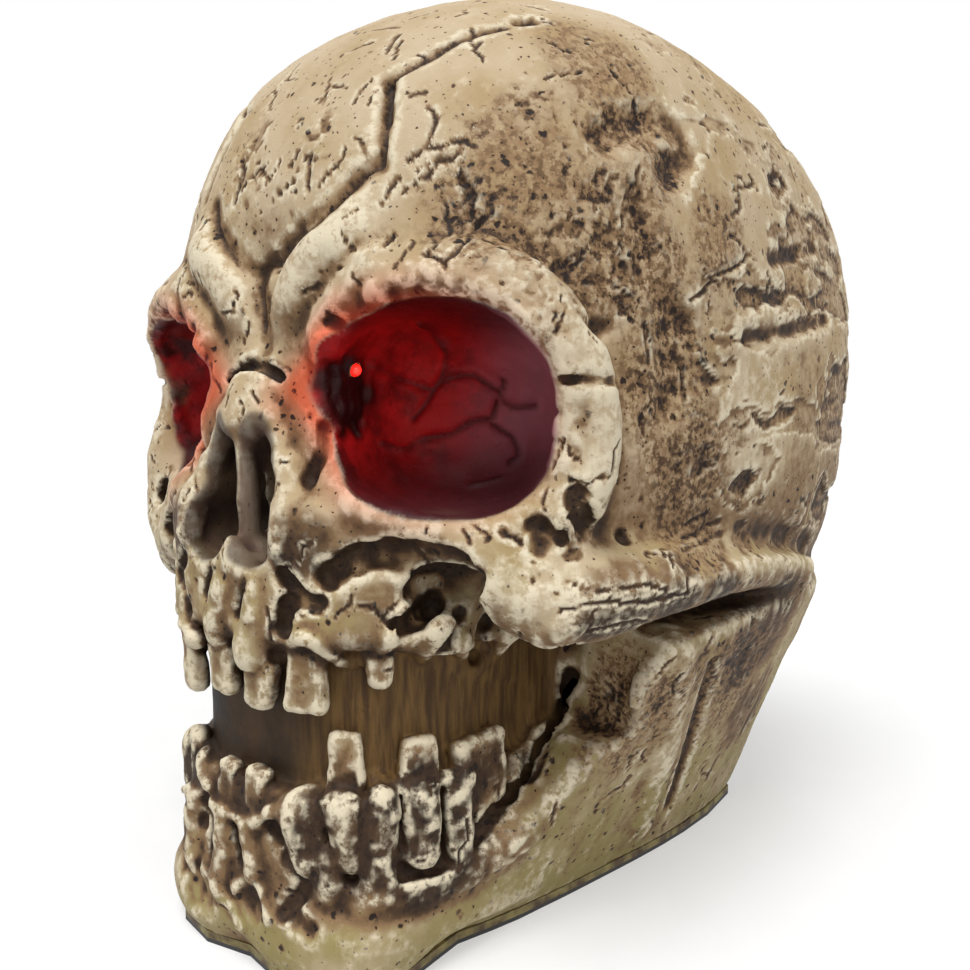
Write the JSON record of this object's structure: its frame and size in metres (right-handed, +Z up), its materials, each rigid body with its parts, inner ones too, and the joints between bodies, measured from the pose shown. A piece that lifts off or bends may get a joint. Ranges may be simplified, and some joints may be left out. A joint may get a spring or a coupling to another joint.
{
  "type": "halloween skull decoration",
  "caption": "Large hollow moulded skull on a flat base, with lit eye sockets, broken teeth and an open jaw; runs from cells behind a hinged door underneath, switched by a slide.",
  "frame": {"origin": "on the underside of the base plate, on the middle plane of the skull", "axes": "+Z up, the face looks along -Y, +X is the skull's own left"},
  "size_m": [0.2916, 0.3998, 0.4159],
  "materials": {
    "bone": "moulded plastic painted bone, with a brown wash in its cracks and pale dry-brushed edges",
    "led": "clear red epoxy, lit",
    "clip": "plain black moulding",
    "lead_red": "red wire insulation",
    "lead_black": "black wire insulation",
    "base": "dark grey moulding with fine texture",
    "steel": "plated steel",
    "board": "green solder mask",
    "knob": "black ribbed moulding",
    "cell": "plain wrapped steel can"
  },
  "bodies": {
    "skull": {"face_shell": "bone", "rear_shell": "bone", "led_left": "led", "led_right": "led", "led_clip_left": "clip", "led_clip_right": "clip", "lead_left": "lead_red", "lead_right": "lead_red", "lead_plus": "lead_red", "lead_minus": "lead_black", "base_plate": "base", "battery_box": "base", "base_screw_front_1_left": "steel", "base_screw_front_2_left": "steel", "base_screw_rear_left": "steel", "base_screw_front_1_right": "steel", "base_screw_front_2_right": "steel", "base_screw_rear_right": "steel", "board_screw_left": "steel", "board_screw_right": "steel", "contact_minus": "steel", "contact_plus": "steel", "contact_bridge_front": "steel", "contact_bridge_rear": "steel", "spring_1": "steel", "spring_2": "steel", "spring_3": "steel", "circuit_board": "board", "switch_body": "steel", "cell_1": "cell", "cell_2": "cell", "cell_3": "cell"},
    "door": {"battery_door": "base", "door_screw": "steel"},
    "knob": {"switch_knob": "knob"}
  },
  "joints": [
    {"name": "door_hinge", "type": "hinge", "parent": "skull", "child": "door", "pos_m": [0, 0.0783, 0.00145], "axis": [1, 0, 0], "range_deg": [0, 90]},
    {"name": "switch_slide", "type": "slide", "parent": "skull", "child": "knob", "axis": [0, 1, 0], "range_m": [-0.004, 0]}
  ]
}
